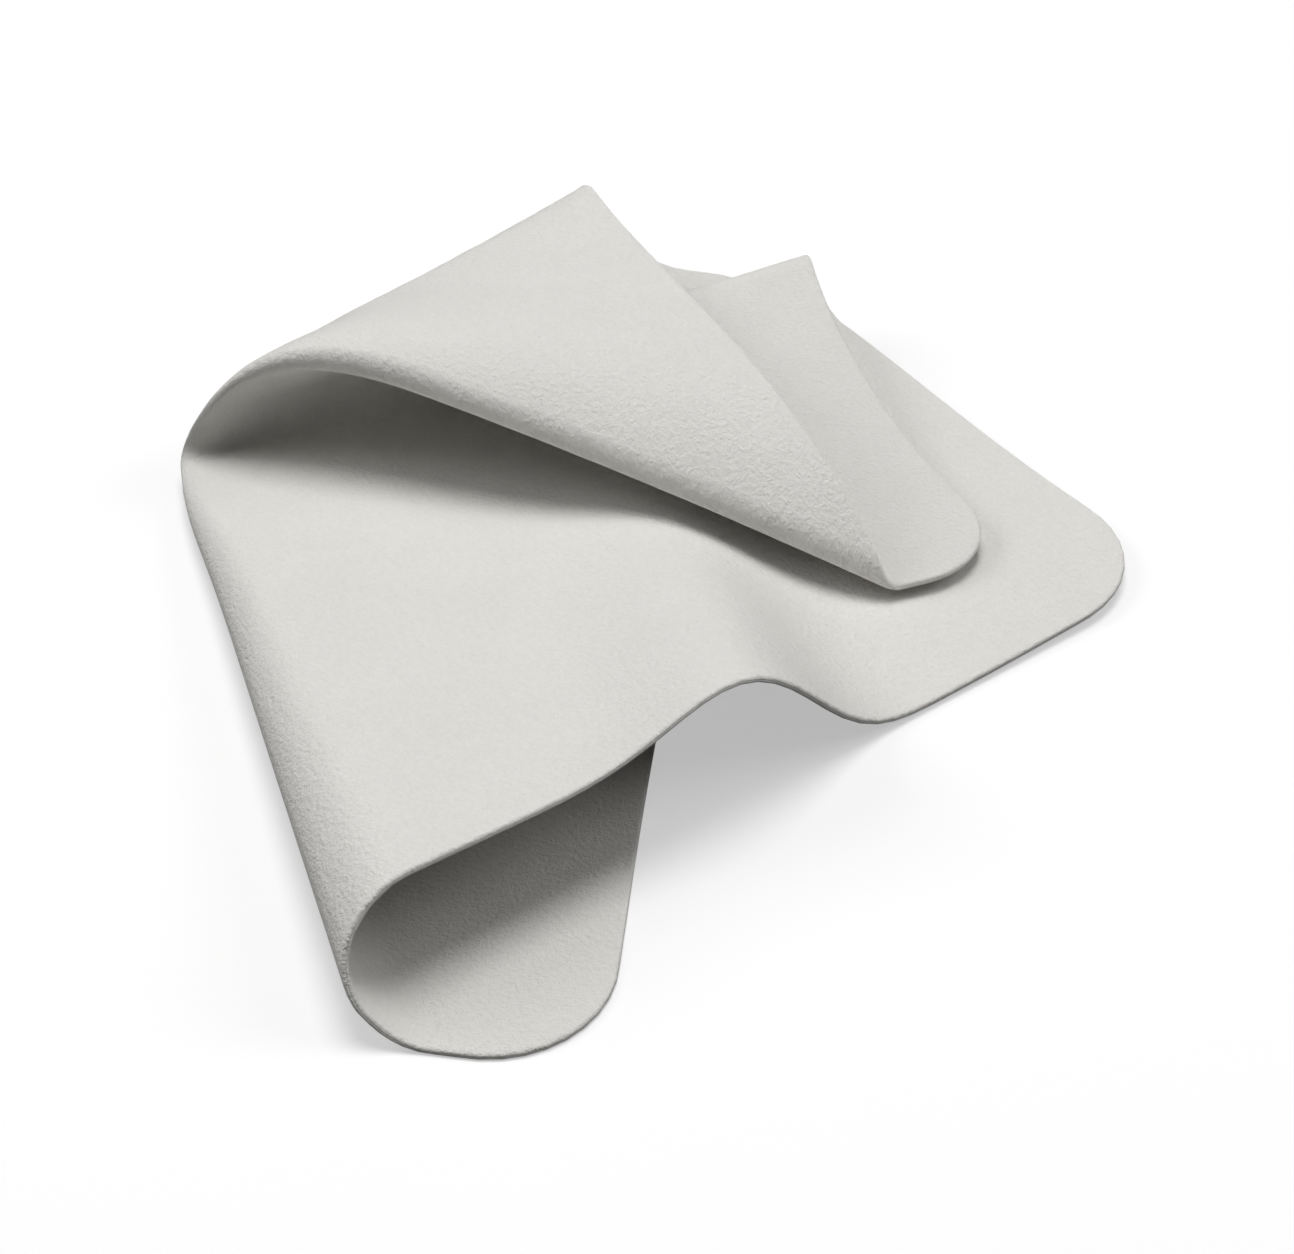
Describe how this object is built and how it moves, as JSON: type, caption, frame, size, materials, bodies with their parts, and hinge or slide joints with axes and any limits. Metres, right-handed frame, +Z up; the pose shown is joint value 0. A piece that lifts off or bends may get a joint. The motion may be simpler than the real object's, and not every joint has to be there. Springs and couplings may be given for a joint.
{
  "type": "lens cleaning cloth",
  "caption": "Square suede microfibre cleaning cloth with rounded corners and a plain cut edge, lying folded with a strip tucked under and a flap turned over.",
  "frame": {"origin": "on the surface the cloth lies on, under the middle of the folded cloth's box", "axes": "+Z up, +Y away from the viewer of the picture, +X to the right; the bend is on the left and the open curl at the front"},
  "size_m": [0.1224, 0.1528, 0.0245],
  "materials": {
    "suede_face": "napped suede, matt",
    "suede_back": "napped suede, matt"
  },
  "bodies": {
    "root": {"face_ply": "suede_face", "back_ply": "suede_back"}
  },
  "joints": []
}
